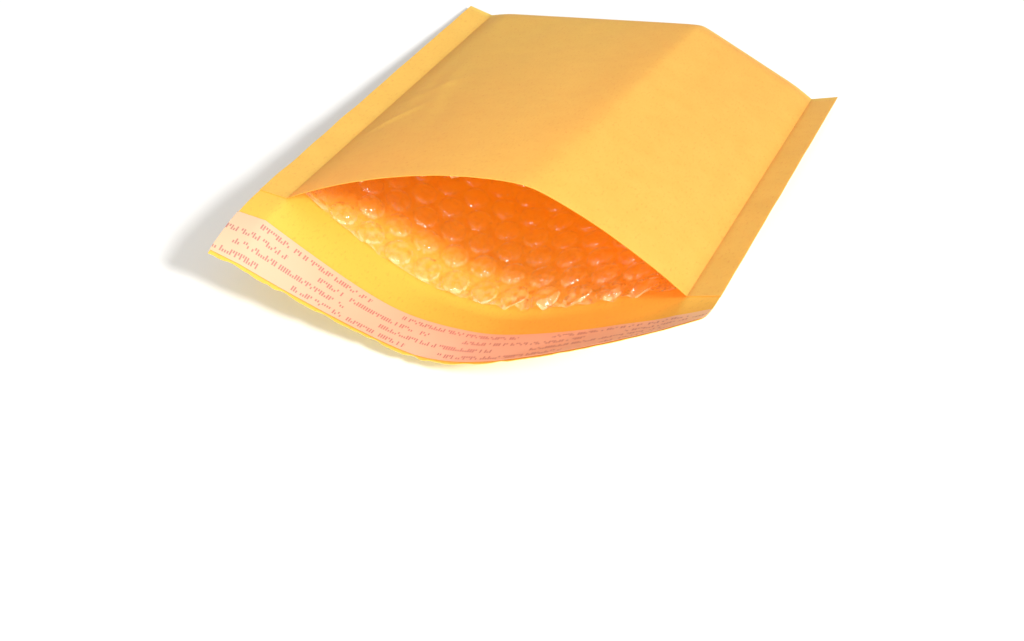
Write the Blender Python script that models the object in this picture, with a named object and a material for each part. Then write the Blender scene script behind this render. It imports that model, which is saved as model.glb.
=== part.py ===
# A padded kraft mailer, open and empty, lying on its back with the flap unfolded.
#
# One sheet of kraft paper is folded at the closed end and sealed to itself along both sides.
# Its longer half runs on past the mouth as the flap. Inside lies a pouch of bubble film, and
# the flap carries a band of adhesive under a release liner.
#
# Frame: X runs across the mailer, +Y runs from the flap to the fold, +Z is up, and the mailer
# rests on Z = 0 with the middle of its outline over the origin.
#
# The open shape: the front panel arches up and the back panel sags to the ground. Across the
# body, u runs from -1 at the left crease to +1 at the right one. Along it, s is the distance
# from the fold, and w = s / BODY_LENGTH runs from 0 at the fold to 1 at the mouth.

import bmesh
import bpy
import numpy as np
from mathutils import Vector
from mathutils.geometry import delaunay_2d_cdt

MM = 0.001

# The flat sheet of paper
BODY_WIDTH = 162.0 * MM       # between the two side creases, when pressed flat
BODY_LENGTH = 203.0 * MM      # from the fold to the lip of the front panel
FLANGE_WIDTH = 11.0 * MM      # the sealed strip outside each crease
FLAP_LENGTH = 36.0 * MM       # from the mouth to the free edge of the flap
PAPER = 0.3 * MM              # thickness of one ply

# How the front panel stands open
FOLD_ARCH = 20.7 * MM         # height of the fold's peak over its two ends
FOLD_PEAK = 0.293             # where along the fold that peak is, in u
FOLD_SOFTNESS = 0.03          # 0 is a sharp bend in the tent formula
LIP_RIDGE = 12.7 * MM         # the part of the lip's height that is a ridge
LIP_PEAK = 0.213              # where the ridge meets the lip, in u
LIP_SOFTNESS = 0.08
LIP_BOW = 17.0 * MM           # the part of the lip's height that is an even bow

# How the back panel sags
SAG_TROUGH = 32.5 * MM        # depth of the trough at the mouth, pressed against the ground
SAG_PEAK = -0.03              # where the trough is deepest, in u
SAG_SOFTNESS = 0.29
BACK_EASING = 5.0             # how fast the fold's bend softens along the back panel
BACK_SOFTEST = 0.8

# Heights of the side seams over the back's paper, at the mouth; they lie on the ground at the fold
MOUTH_LEFT = 25.8 * MM
MOUTH_RIGHT = 36.4 * MM

# How far each flange turns up at its outer edge
TURN_FOLD_LEFT = 2.0 * MM
TURN_FOLD_RIGHT = 4.4 * MM
TURN_MOUTH_LEFT = 0.2 * MM
TURN_MOUTH_RIGHT = 4.4 * MM

# The free edge of the flap
EDGE_LEFT = 22.5 * MM         # height of its left corner
EDGE_RIGHT = 53.4 * MM        # height of its right corner
EDGE_TROUGH = 31.7 * MM       # how deep it sags between them
EDGE_PEAK = -0.02
EDGE_SOFTNESS = 0.15

# Room for the lining between the panels
PAD_FOLD = 3.6 * MM           # how far each panel stands off the middle near the fold
PAD_LIP = 0.2 * MM            # and near the lip
PAD_RUN = 12.0 * MM           # how far from a crease or the fold that room is full
PAD_AT_FOLD = 0.3             # the share of it left at the fold itself
FOLD_ROUND = 1.2 * MM         # how far the fold bulges past its two panels

# The bubble film
CLEARANCE = 0.3 * MM          # between any two pieces
FILM = 0.5 * MM               # the film and its backing together
BUBBLE_PITCH = 12.5 * MM      # centre to centre
BUBBLE_HEIGHT = 3.2 * MM
BUBBLE_CROWN = 0.62           # how far out the flattened top of a bubble reaches
BUBBLE_ROOM = 0.85            # share of the room to the middle that a bubble may fill
LINING_SETBACK = 8.6 * MM     # from the lip to the cut edge of the film
LINING_CREASE = 1.8 * MM      # the film's outer crease, in from the paper's
LINING_INNER_CREASE = 7.0 * MM
LINING_FOLD = 2.4 * MM
LINING_INNER_FOLD = 10.0 * MM
BUBBLE_MARGIN = 1.0 * MM      # flat film around the field of bubbles

# The closure on the flap
BARE_STRIP = 15.3 * MM        # bare paper between the mouth and the liner
LINER_WIDTH = 19.5 * MM
LINER_THICKNESS = 0.15 * MM
ADHESIVE_INSET = 2.0 * MM     # how far the liner covers the paper on each side of the adhesive
ADHESIVE_THICKNESS = 0.2 * MM

# How finely the sheets are divided
CREASE_STEPS = (0.0, 0.25, 0.6)   # divisions of PAD_RUN next to a crease or the fold
LEFT_COLUMNS = 11
RIGHT_COLUMNS = 6
BODY_ROWS = 8
PRESSED_LENGTH = 18.0 * MM        # where the back lies flat on the ground, in from the mouth
SMALLEST_RUN = 0.2                # least share of the flap's length that runs level

HALF_WIDTH = BODY_WIDTH / 2


# Shape formulas

def tent(u, peak, softness):
    """Height 1 at the peak and 0 at both creases, with straight sides and a rounded ridge."""
    side = np.where(u < peak, (u + 1) / (peak + 1), (1 - u) / (1 - peak))
    reach = np.sqrt(1 + softness ** 2)
    return (reach - np.sqrt((1 - side) ** 2 + softness ** 2)) / (reach - softness)


def bow(u):
    """An even bow: height 1 in the middle and 0 at both creases."""
    return 1 - u ** 2


def blend(w, at_fold, at_mouth):
    return at_fold + (at_mouth - at_fold) * w


def half_chord(heights, u):
    """Half the straight distance between the creases once the flat width is bent to a shape."""
    low, high = 0.1 * HALF_WIDTH, HALF_WIDTH
    for _ in range(40):
        middle = (low + high) / 2
        length = np.hypot(middle * np.diff(u), np.diff(heights)).sum()
        low, high = (middle, high) if length < BODY_WIDTH else (low, middle)
    return (low + high) / 2


ACROSS = np.linspace(-1, 1, 161)
CHORD_FOLD = half_chord(FOLD_ARCH * tent(ACROSS, FOLD_PEAK, FOLD_SOFTNESS), ACROSS)
CHORD_MOUTH = half_chord(LIP_RIDGE * tent(ACROSS, LIP_PEAK, LIP_SOFTNESS) + LIP_BOW * bow(ACROSS), ACROSS)


def chord(w):
    return blend(w, CHORD_FOLD, CHORD_MOUTH)


def seam_height(u, w):
    """The straight line between the two side seams, which rise from the ground to the mouth."""
    return w * (MOUTH_LEFT * (1 - u) + MOUTH_RIGHT * (1 + u)) / 2


def rise(x):
    """0 to 1 over a quarter of a sine wave, then 1."""
    return np.sin(np.clip(x, 0, 1) * np.pi / 2)


def pad(u, w):
    """Half the room that the lining takes between the two panels."""
    from_crease = (1 - np.abs(u)) * chord(w) / PAD_RUN
    from_fold = blend(rise(w * BODY_LENGTH / PAD_RUN), PAD_AT_FOLD, 1)
    return blend(w, PAD_FOLD, PAD_LIP) * rise(from_crease) * from_fold


def front_height(u, w):
    """The inner face of the front panel: a ridge from the fold's peak to the lip, and a bow."""
    ridge = blend(w, FOLD_ARCH, LIP_RIDGE)
    shape = tent(u, blend(w, FOLD_PEAK, LIP_PEAK), blend(w, FOLD_SOFTNESS, LIP_SOFTNESS))
    return seam_height(u, w) + ridge * shape + w * LIP_BOW * bow(u) + pad(u, w)


def back_height(u, w):
    """The inner face of the back panel: the fold's arch dies out and turns into the sag."""
    softness = np.minimum(FOLD_SOFTNESS + BACK_EASING * w, BACK_SOFTEST)
    arch = FOLD_ARCH * (1 - w) * tent(u, FOLD_PEAK, softness)
    sag = SAG_TROUGH * w * tent(u, SAG_PEAK, SAG_SOFTNESS)
    return np.maximum(seam_height(u, w) + arch - sag - pad(u, w), 0)


def place(x, along, z):
    """Points from their width, their distance from the mouth towards the fold, and height."""
    return np.stack(np.broadcast_arrays(x, along, z), -1)


def panel(u, w, heights):
    return place(u * chord(w), BODY_LENGTH * (1 - w), heights)


def flange_edge(side, w):
    """The outer edge of a flange, between its two plies."""
    if side < 0:
        turn = blend(w, TURN_FOLD_LEFT, TURN_MOUTH_LEFT)
    else:
        turn = blend(w, TURN_FOLD_RIGHT, TURN_MOUTH_RIGHT)
    return place(side * (chord(w) + FLANGE_WIDTH), BODY_LENGTH * (1 - w), seam_height(side, w) + turn)


def back_sheet(u, w):
    """The inner face of the back ply over the full width, flanges included."""
    left = flange_edge(-1, w[:, :1])
    right = flange_edge(1, w[:, :1])
    return np.concatenate([left, panel(u, w, back_height(u, w)), right], 1)


def flap_sheet(t):
    """The flap's inner face on rows t, from 0 at the mouth to 1 at its free edge.

    It leaves the mouth at the back panel's own slope and bends evenly to its free edge.
    """
    one = np.ones((1, 1))
    mouth = back_sheet(columns(one), one)
    before = back_sheet(columns(one), one - MOUTH_STEP)
    slope = (mouth[..., 2] - before[..., 2]) / MOUTH_STEP * FLAP_LENGTH / BODY_LENGTH
    v = mouth[..., 0] / mouth[..., -1:, 0]
    ends = (EDGE_LEFT * (1 - v) + EDGE_RIGHT * (1 + v)) / 2
    edge = np.maximum(ends - EDGE_TROUGH * tent(v, EDGE_PEAK, EDGE_SOFTNESS), 0)
    climb = edge - mouth[..., 2]
    run = np.sqrt(np.maximum(FLAP_LENGTH ** 2 - climb ** 2, (SMALLEST_RUN * FLAP_LENGTH) ** 2))
    t = t[:, None]
    height = np.maximum(mouth[..., 2] + slope * t + (climb - slope) * t ** 2, 0)
    return place(mouth[..., 0], -run * t, height)


# Divisions

def divide(total, count):
    """Shares from 0 to 1 of a length: close together over PAD_RUN, then even."""
    start = [step * PAD_RUN / total for step in CREASE_STEPS]
    return np.concatenate([start, np.linspace(PAD_RUN / total, 1, count)])


LEFT_SHARES = divide(HALF_WIDTH * (1 + FOLD_PEAK), LEFT_COLUMNS)
RIGHT_SHARES = 1 - divide(HALF_WIDTH * (1 - FOLD_PEAK), RIGHT_COLUMNS)[::-1]
MOUTH_STEP = 0.03             # how far back from the mouth the panel's slope is read, in w


def columns(w):
    """Values of u that follow the ridge: one column runs along it from the fold to the lip."""
    peak = blend(w, FOLD_PEAK, LIP_PEAK)
    left = -1 + (1 + peak) * LEFT_SHARES
    right = peak + (1 - peak) * RIGHT_SHARES[1:]
    return np.concatenate([left, right], 1)


def body_rows(first, last):
    """Values of w from a distance after the fold to a distance before the mouth."""
    start = [first + step * (PAD_RUN - first) for step in CREASE_STEPS] if first < PAD_RUN else [first]
    even = np.linspace(max(PAD_RUN, first + PAD_RUN), BODY_LENGTH - PRESSED_LENGTH, BODY_ROWS)
    end = [BODY_LENGTH - PRESSED_LENGTH / 2, BODY_LENGTH - last]
    return np.concatenate([start, even, end])[:, None] / BODY_LENGTH


# Meshes

class Shell:
    """A closed mesh put together from grids of points."""

    def __init__(self):
        self.points = []
        self.faces = []

    def add(self, places):
        """Adds an array of points and gives the array of their numbers."""
        first = len(self.points)
        self.points.extend(places.reshape(-1, 3).tolist())
        return np.arange(first, len(self.points)).reshape(places.shape[:-1])

    def face(self, *corners):
        """Adds a face, unless shared corners leave it no area."""
        ring = [int(c) for k, c in enumerate(corners) if c != corners[k - 1]]
        if len(set(ring)) > 2:
            self.faces.append(ring)

    def grid(self, numbers):
        """Two triangles for each cell of a grid, always cut along the same diagonal."""
        for upper, lower in zip(numbers[:-1], numbers[1:]):
            for a, b, c, d in zip(upper[:-1], lower[:-1], lower[1:], upper[1:]):
                self.face(a, b, c)
                self.face(a, c, d)

    def strip(self, first, second):
        self.grid(np.stack([first, second]))

    def join(self, first, second):
        """Triangles between two rows that run the same way across, each with its own count."""
        i, j = 0, 0
        while i < len(first) - 1 or j < len(second) - 1:
            first_done = i == len(first) - 1
            second_done = j == len(second) - 1
            if first_done or (not second_done and self.across(second[j + 1]) < self.across(first[i + 1])):
                self.face(first[i], second[j], second[j + 1])
                j += 1
            else:
                self.face(first[i], second[j], first[i + 1])
                i += 1

    def across(self, number):
        return self.points[number][0]

    def build(self, name, material):
        mesh = bpy.data.meshes.new(name)
        mesh.from_pydata(self.points, [], self.faces)
        shape = bmesh.new()
        shape.from_mesh(mesh)
        loose = [vertex for vertex in shape.verts if not vertex.link_faces]
        bmesh.ops.delete(shape, geom=loose, context="VERTS")
        bmesh.ops.recalc_face_normals(shape, faces=shape.faces)
        bmesh.ops.translate(shape, verts=shape.verts, vec=Vector((0, -CENTRE, PAPER)))
        shape.to_mesh(mesh)
        shape.free()
        mesh.materials.append(material)
        mesh.shade_smooth()
        mesh.set_sharp_from_angle(angle=np.radians(SHARP_ANGLE))
        piece = bpy.data.objects.new(name, mesh)
        bpy.context.scene.collection.objects.link(piece)
        return piece


SHARP_ANGLE = 40
FOLD_END = BODY_LENGTH + FOLD_ROUND + PAPER
FLAP_END = flap_sheet(np.ones(1))[..., 1].min()
CENTRE = (FOLD_END + FLAP_END) / 2


def surface(name, hex_colour, roughness, transmission=0.0):
    """A plain material from an sRGB colour."""
    material = bpy.data.materials.new(name)
    material.use_nodes = True
    shader = material.node_tree.nodes["Principled BSDF"]
    srgb = [int(hex_colour[k:k + 2], 16) / 255 for k in (0, 2, 4)]
    linear = [c / 12.92 if c <= 0.04045 else ((c + 0.055) / 1.055) ** 2.4 for c in srgb]
    shader.inputs["Base Color"].default_value = (*linear, 1)
    shader.inputs["Roughness"].default_value = roughness
    shader.inputs["Metallic"].default_value = 0.0
    shader.inputs["Transmission Weight"].default_value = transmission
    return material


def fold_line(u, extra):
    """Where front and back meet behind the fold: it bulges by FOLD_ROUND away from the creases."""
    bulge = FOLD_ROUND * rise((1 - np.abs(u)) * CHORD_FOLD / PAD_RUN)
    middle = (front_height(u, 0 * u) + back_height(u, 0 * u)) / 2
    return place(u * CHORD_FOLD, BODY_LENGTH + bulge + extra, middle)


def lifted(points, height):
    return points + np.array([0, 0, height])


def widened(points, w, height):
    """Adds both flange edges to the rows of a panel, lifted from between the plies."""
    edges = [lifted(flange_edge(side, w), height) for side in (-1, 1)]
    return np.concatenate([edges[0], points, edges[1]], 1)


def build_envelope():
    """The folded sheet: an outer skin, an inner skin, the front lip, the flanges and the flap."""
    shell = Shell()
    w = body_rows(0, 0)
    u = columns(w)
    front = panel(u, w, front_height(u, w))
    back = panel(u, w, back_height(u, w))
    top = shell.add(widened(lifted(front, PAPER), w, PAPER))
    bottom = shell.add(widened(lifted(back, -PAPER), w, -PAPER))
    inner_top = shell.add(front)
    inner_bottom = shell.add(back)
    inner_bottom[:, [0, -1]] = inner_top[:, [0, -1]]

    at_fold = w[:1]
    inner_fold = shell.add(fold_line(u[:1], 0))[0]
    inner_fold[[0, -1]] = inner_top[0, [0, -1]]
    outer_line = widened(fold_line(u[:1], PAPER), at_fold, 0)
    outer_line[:, [0, -1], 1] += PAPER
    outer_fold = shell.add(outer_line)[0]

    for skin, fold in (((top, bottom), outer_fold), ((inner_top, inner_bottom), inner_fold)):
        for rows in skin:
            shell.grid(rows)
            shell.strip(rows[0], fold)

    plies = shell.add(np.concatenate([flange_edge(-1, w[-1:]), flange_edge(1, w[-1:])], 1))[0]
    lip_under = np.concatenate([plies[:1], inner_top[-1], plies[1:]])
    shell.strip(top[-1], lip_under)

    flap = flap_sheet(flap_rows()[1:])
    upper = np.vstack([np.concatenate([plies[:1], inner_bottom[-1], plies[1:]]), shell.add(flap)])
    lower = np.vstack([bottom[-1], shell.add(lifted(flap, -PAPER))])
    shell.grid(upper)
    shell.grid(lower)
    shell.strip(upper[-1], lower[-1])
    for side in (0, -1):
        shell.strip(upper[:, side], lower[:, side])
        shell.strip(top[:-1, side], bottom[:-1, side])
        shell.face(top[0, side], outer_fold[side], bottom[0, side])
        shell.face(top[-2, side], top[-1, side], upper[0, side])
        shell.face(top[-2, side], upper[0, side], bottom[-2, side])
        shell.face(upper[0, side], bottom[-1, side], bottom[-2, side])
    return shell.build("kraft_envelope", surface("kraft_paper", "F3BF62", 0.75))


def flap_rows():
    """Rows of the flap in t: its bare strip, both edges of the adhesive and of the liner."""
    liner_end = BARE_STRIP + LINER_WIDTH
    rows = [0, BARE_STRIP / 2, BARE_STRIP, BARE_STRIP + ADHESIVE_INSET, liner_end - ADHESIVE_INSET, liner_end]
    return np.append(np.array(rows) / FLAP_LENGTH, 1.0)


def build_band(name, material, sheet, height, thickness):
    """A flat band that lies a height above a part of the flap's sheet."""
    shell = Shell()
    under = shell.add(lifted(sheet, height))
    over = shell.add(lifted(sheet, height + thickness))
    for skin in (under, over):
        shell.grid(skin)
    for side in (0, -1):
        shell.strip(under[side], over[side])
        shell.strip(under[:, side], over[:, side])
    return shell.build(name, material)


def build_closure():
    """The adhesive from crease to crease, and the liner over it from side to side."""
    sheet = flap_sheet(flap_rows())
    liner_height = CLEARANCE + ADHESIVE_THICKNESS + CLEARANCE
    build_band("adhesive_strip", surface("hot_melt_adhesive", "F2E2B8", 0.35), sheet[3:5, 1:-1],
               CLEARANCE, ADHESIVE_THICKNESS)
    build_band("release_liner", surface("coated_liner_paper", "F8D9BC", 0.5), sheet[2:6],
               liner_height, LINER_THICKNESS)


# The bubble film

def room(u, w):
    """Half the distance between the two panels of paper."""
    return (front_height(u, w) - back_height(u, w)) / 2


def film_height(u, w, side, depth):
    """Height of a point of the film that lies a depth inside the front (+1) or back (-1) panel."""
    middle = (front_height(u, w) + back_height(u, w)) / 2
    return middle + side * np.maximum(room(u, w) - depth, (1 - BUBBLE_ROOM) * room(u, w))


def bubble_centres(half, start, end):
    """The field of bubbles on the flat film: rows a little closer than the pitch, every other one shifted."""
    row_step = BUBBLE_PITCH * np.sqrt(3) / 2
    corner = BUBBLE_PITCH / np.sqrt(3)
    first = start + BUBBLE_MARGIN + corner
    rows = np.arange(first, end - BUBBLE_MARGIN - corner, row_step)
    centres = []
    for number, s in enumerate(rows):
        shift = (number % 2) * BUBBLE_PITCH / 2
        reach = half - BUBBLE_MARGIN - BUBBLE_PITCH / 2
        across = np.arange(-np.floor((reach + shift) / BUBBLE_PITCH) * BUBBLE_PITCH + shift, reach, BUBBLE_PITCH)
        centres.extend((p, s) for p in across)
    return np.array(centres)


def bubble_net(border, centres):
    """Triangles on the flat film: each bubble is a six-sided cell with a flattened top inside it."""
    angles = np.radians(30 + 60 * np.arange(6))
    ring = np.stack([np.cos(angles), np.sin(angles)], -1) * BUBBLE_PITCH / np.sqrt(3)
    points = list(border)
    edges = [(k, (k + 1) % len(border)) for k in range(len(border))]
    for centre in centres:
        for scale in (1, BUBBLE_CROWN):
            first = len(points)
            points.extend(centre + ring * scale)
            edges.extend((first + k, first + (k + 1) % 6) for k in range(6))
    flat = [Vector(point) for point in points]
    net = delaunay_2d_cdt(flat, edges, [], 0, BUBBLE_PITCH * 1e-4)
    places = np.array([tuple(vertex) for vertex in net[0]])
    return places, net[2]


def bubble_rise(places, centres):
    """How far the film stands up at each point: a round dome over the nearest bubble centre."""
    gaps = places[:, None, :] - centres[None, :, :]
    nearest = np.sqrt((gaps ** 2).sum(-1).min(1))
    share = np.clip(nearest * np.sqrt(3) / BUBBLE_PITCH, 0, 1)
    return BUBBLE_HEIGHT * np.sqrt(1 - share ** 2)


def pulled_in(u, w, inset):
    """The panel's columns with the outermost ones moved to a distance inside the creases."""
    u = u.copy()
    limit = 1 - inset / chord(w[:, 0])
    u[:, 0] = -limit
    u[:, -1] = limit
    return u


def build_lining():
    """The pouch of bubble film: an outer skin against the paper, and an inner skin with bubbles."""
    shell = Shell()
    w = body_rows(LINING_FOLD, LINING_SETBACK)
    u = pulled_in(columns(w), w, LINING_CREASE)
    skins = []
    for side in (1, -1):
        depth = np.full(u.shape, CLEARANCE)
        height = film_height(u, w, side, depth)
        skins.append(shell.add(panel(u, w, height)))
    middle = film_height(u, w, 0, depth)
    front, back = skins
    closing = shell.add(panel(u, w, middle))
    for skin in (front, back):
        skin[:, [0, -1]] = closing[:, [0, -1]]
        skin[0] = closing[0]
        shell.grid(skin)

    end = BODY_LENGTH - LINING_SETBACK
    start = LINING_INNER_FOLD
    half = HALF_WIDTH * (1 - LINING_INNER_CREASE / CHORD_MOUTH)
    mouth = u[-1, 1:-1] * HALF_WIDTH
    mouth = np.concatenate([[-half], mouth[np.abs(mouth) < half], [half]])
    steps = np.linspace(start, end, BODY_ROWS + 4)
    border = [(p, start) for p in mouth] + [(half, s) for s in steps[1:-1]]
    border += [(p, end) for p in mouth[::-1]] + [(-half, s) for s in steps[-2:0:-1]]
    centres = bubble_centres(half, start, end)
    places, triangles = bubble_net([np.array(point) for point in border], centres)

    flat_u = places[:, 0] / HALF_WIDTH
    flat_w = places[:, 1] / BODY_LENGTH
    closed = (np.abs(places[:, 0]) > half - BUBBLE_MARGIN / 2) | (places[:, 1] < start + BUBBLE_MARGIN / 2)
    lift = bubble_rise(places, centres)
    inner = []
    for side in (1, -1):
        height = film_height(flat_u, flat_w, side, CLEARANCE + FILM + lift)
        inner.append(shell.add(panel(flat_u, flat_w, height)))
    middle = shell.add(panel(flat_u, flat_w, film_height(flat_u, flat_w, 0, lift)))
    at_end = np.flatnonzero(places[:, 1] > end - BUBBLE_MARGIN / 2)
    at_end = at_end[np.argsort(places[at_end, 0])]
    for skin, outer in zip(inner, (front, back)):
        skin[closed] = middle[closed]
        for a, b, c in triangles:
            shell.face(skin[a], skin[b], skin[c])
        shell.join(outer[-1], skin[at_end])
    return shell.build("bubble_lining", surface("bubble_film", "F6D9A8", 0.12, 0.6))


def clear_scene():
    for piece in list(bpy.data.objects):
        bpy.data.objects.remove(piece, do_unlink=True)


clear_scene()
build_envelope()
build_lining()
build_closure()
print("built the mailer")
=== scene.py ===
import math

import bpy
import numpy as np
from mathutils import Matrix, Vector
from mathutils.geometry import delaunay_2d_cdt


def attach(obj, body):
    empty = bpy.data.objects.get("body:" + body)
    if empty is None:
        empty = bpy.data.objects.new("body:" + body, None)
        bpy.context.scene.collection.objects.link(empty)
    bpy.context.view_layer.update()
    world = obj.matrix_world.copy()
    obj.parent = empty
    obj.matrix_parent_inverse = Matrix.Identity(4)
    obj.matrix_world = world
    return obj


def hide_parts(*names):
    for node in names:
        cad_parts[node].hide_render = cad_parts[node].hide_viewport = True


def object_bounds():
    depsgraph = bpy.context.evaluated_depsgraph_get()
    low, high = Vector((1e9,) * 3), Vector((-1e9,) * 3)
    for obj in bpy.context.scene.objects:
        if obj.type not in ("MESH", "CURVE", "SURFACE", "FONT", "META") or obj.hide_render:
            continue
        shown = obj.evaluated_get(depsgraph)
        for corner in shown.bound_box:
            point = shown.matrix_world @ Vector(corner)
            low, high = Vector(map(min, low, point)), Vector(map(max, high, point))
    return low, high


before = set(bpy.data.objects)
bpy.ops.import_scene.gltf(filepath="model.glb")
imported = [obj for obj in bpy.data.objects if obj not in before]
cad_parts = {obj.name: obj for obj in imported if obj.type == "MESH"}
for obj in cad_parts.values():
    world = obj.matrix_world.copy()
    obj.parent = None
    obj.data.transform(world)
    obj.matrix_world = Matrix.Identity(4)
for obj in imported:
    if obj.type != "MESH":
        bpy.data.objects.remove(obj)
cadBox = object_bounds()
print("loaded the frame")

# Lengths are millimetres until putMesh makes them metres.
# X runs across the mailer, +Y from the flap to the fold, +Z is up.
# u runs from -1 at the left crease to +1 at the right one, w from 0 at the fold to 1 at the mouth.

mm = 0.001

mailer = {
    "bodyWidth": 162.0,           # between the side creases, pressed flat
    "bodyLength": 203.0,          # fold to lip
    "flangeWidth": 11.0,          # sealed strip outside each crease
    "flapLength": 36.0,
    "paper": 0.3,                 # one ply
    "foldArch": 20.7, "foldPeak": 0.293, "foldSoftness": 0.03,
    "lipRidge": 12.7, "lipPeak": 0.213, "lipSoftness": 0.08, "lipBow": 17.0,
    "sagTrough": 32.5, "sagPeak": -0.03, "sagSoftness": 0.29,
    "backEasing": 5.0, "backSoftest": 0.8,
    "seamAtMouth": (25.8, 36.4),  # heights, left and right
    "turnAtFold": (2.0, 4.4), "turnAtMouth": (0.2, 4.4),
    "edgeHeights": (22.5, 53.4), "edgeTrough": 31.7, "edgePeak": -0.02, "edgeSoftness": 0.15,
    "padFold": 3.6, "padLip": 0.2, "padRun": 12.0, "padAtFold": 0.3,
    "foldRound": 1.2,
    "groundSoftness": 4.0,
    "levelling": 4,               # the back levels out fully a quarter of the way in
    "cornerCrease": (-24.0, 15.3),  # from the right mouth corner: across and towards the free edge
    "cornerBend": 0.09, "cornerPull": 0.3, "edgeSlack": 2.5,
    "flapSwells": ((0.15, 0.4, 3.0), (0.85, 0.15, -2.0)),  # place from -1 to 1 across, reach, height
    "steepestFlap": 0.2,          # the least share of its length that the flap keeps along the floor
}
halfWidth = mailer["bodyWidth"] / 2
length = mailer["bodyLength"]
mouthLine = cadBox[1][1] / mm - length - mailer["foldRound"] - mailer["paper"]


# The open shape

def tent(u, peak, softness):
    # 1 at the peak and 0 at both creases: two straight lines, rounded where they meet by a hyperbola
    side = np.where(u < peak, (u + 1) / (peak + 1), (1 - u) / (1 - peak))
    reach = np.sqrt(1 + softness ** 2)
    return (reach - np.sqrt((1 - side) ** 2 + softness ** 2)) / (reach - softness)


def blend(w, atFold, atMouth):
    # a straight line from the first value at w 0 to the second at w 1
    return atFold + (atMouth - atFold) * w


def rise(x):
    # 0 to 1 over a quarter of a sine wave, then 1
    return np.sin(np.clip(x, 0, 1) * np.pi / 2)


def halfChord(heights, u):
    # half the distance between the creases at which the line through these heights is as long as the flat
    # width, found by halving a range 40 times
    low, high = 0.1 * halfWidth, halfWidth
    for _ in range(40):
        middle = (low + high) / 2
        bent = np.hypot(middle * np.diff(u), np.diff(heights)).sum()
        low, high = (middle, high) if bent < mailer["bodyWidth"] else (low, middle)
    return (low + high) / 2


evenU = np.linspace(-1, 1, 161)
chordFold = halfChord(mailer["foldArch"] * tent(evenU, mailer["foldPeak"], mailer["foldSoftness"]), evenU)
chordMouth = halfChord(mailer["lipRidge"] * tent(evenU, mailer["lipPeak"], mailer["lipSoftness"])
                       + mailer["lipBow"] * (1 - evenU ** 2), evenU)


def chord(w):
    # half the width between the creases, on a straight line from the fold to the mouth
    return blend(w, chordFold, chordMouth)


def onGround(z):
    # half of z plus the root of z squared and the softness squared: heights well above 0 stay, and lower
    # ones level out just over the floor
    soft = mailer["groundSoftness"]
    return (z + np.sqrt(z ** 2 + soft ** 2)) / 2


def seam(u, w):
    # a straight line between the side seams, which climb from the ground to the mouth
    left, right = mailer["seamAtMouth"]
    return w * (left * (1 - u) + right * (1 + u)) / 2


def pad(u, w):
    # half the room between the panels for the lining: none at the creases, most near the fold
    fromCrease = rise((1 - np.abs(u)) * chord(w) / mailer["padRun"])
    fromFold = blend(rise(w * length / mailer["padRun"]), mailer["padAtFold"], 1)
    return blend(w, mailer["padFold"], mailer["padLip"]) * fromCrease * fromFold


def frontHeight(u, w):
    # the line between the seams, plus the tent of the ridge, plus a parabola that grows to the lip, plus the
    # padding
    ridge = blend(w, mailer["foldArch"], mailer["lipRidge"])
    peak = blend(w, mailer["foldPeak"], mailer["lipPeak"])
    softness = blend(w, mailer["foldSoftness"], mailer["lipSoftness"])
    return seam(u, w) + ridge * tent(u, peak, softness) + w * mailer["lipBow"] * (1 - u ** 2) + pad(u, w)


def backHeight(u, w):
    # the line between the seams, plus the fold's tent fading to the mouth, less a sag that grows to it, less
    # the padding; where the panel nears the floor it levels out
    softness = np.minimum(mailer["foldSoftness"] + mailer["backEasing"] * w, mailer["backSoftest"])
    arch = mailer["foldArch"] * (1 - w) * tent(u, mailer["foldPeak"], softness)
    sag = mailer["sagTrough"] * w * tent(u, mailer["sagPeak"], mailer["sagSoftness"])
    levels = rise((1 - np.abs(u)) * mailer["levelling"]) * rise(w * mailer["levelling"])
    z = seam(u, w) + arch - sag - pad(u, w)
    return blend(levels, np.maximum(z, 0), onGround(z))


# Small irregularities

def wobble(x, wavelength, seed, waves=5):
    # the mean of sines of 0.6 to 1.8 times a wavelength with seeded phases, times 1.6 to reach about -1 to 1
    rng = np.random.default_rng(seed)
    total = 0
    for _ in range(waves):
        total = total + np.sin(2 * np.pi * (x / (wavelength * rng.uniform(0.6, 1.8)) + rng.uniform()))
    return total / waves * 1.6


def wrinkle(p, s, start, end, width):
    # a low ridge from one point of the flat sheet to another: a bell across it, fading at both ends
    run = np.subtract(end, start)
    reach = np.hypot(*run)
    along = ((p - start[0]) * run[0] + (s - start[1]) * run[1]) / reach
    off = ((p - start[0]) * run[1] - (s - start[1]) * run[0]) / reach
    return np.exp(-(off / width) ** 2) * np.sin(np.clip(along / reach, 0, 1) * np.pi)


relief = {
    "height": 0.25, "lengths": (46, 70), "slants": (0.4, -0.3),
    "fromCrease": 10, "fromFold": 15,  # it is full this far in
    # start and end on the flat front panel (across from the middle, from the fold), width, height
    "wrinkles": (
        ((-70, 70), (-48, 150), 4.0, 0.55),
        ((-60, 96), (-40, 168), 5.0, -0.45),
        ((-72, 20), (-66, 120), 3.5, -0.4),
        ((30, 120), (60, 190), 8.0, 0.35),
        ((-10, 40), (12, 150), 12.0, -0.5),
        ((64, 60), (70, 170), 4.0, -0.35),
        ((-80, 156), (-58, 118), 1.9, 0.6),
        ((-76, 120), (-50, 86), 2.6, 0.35),
    ),
}


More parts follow.
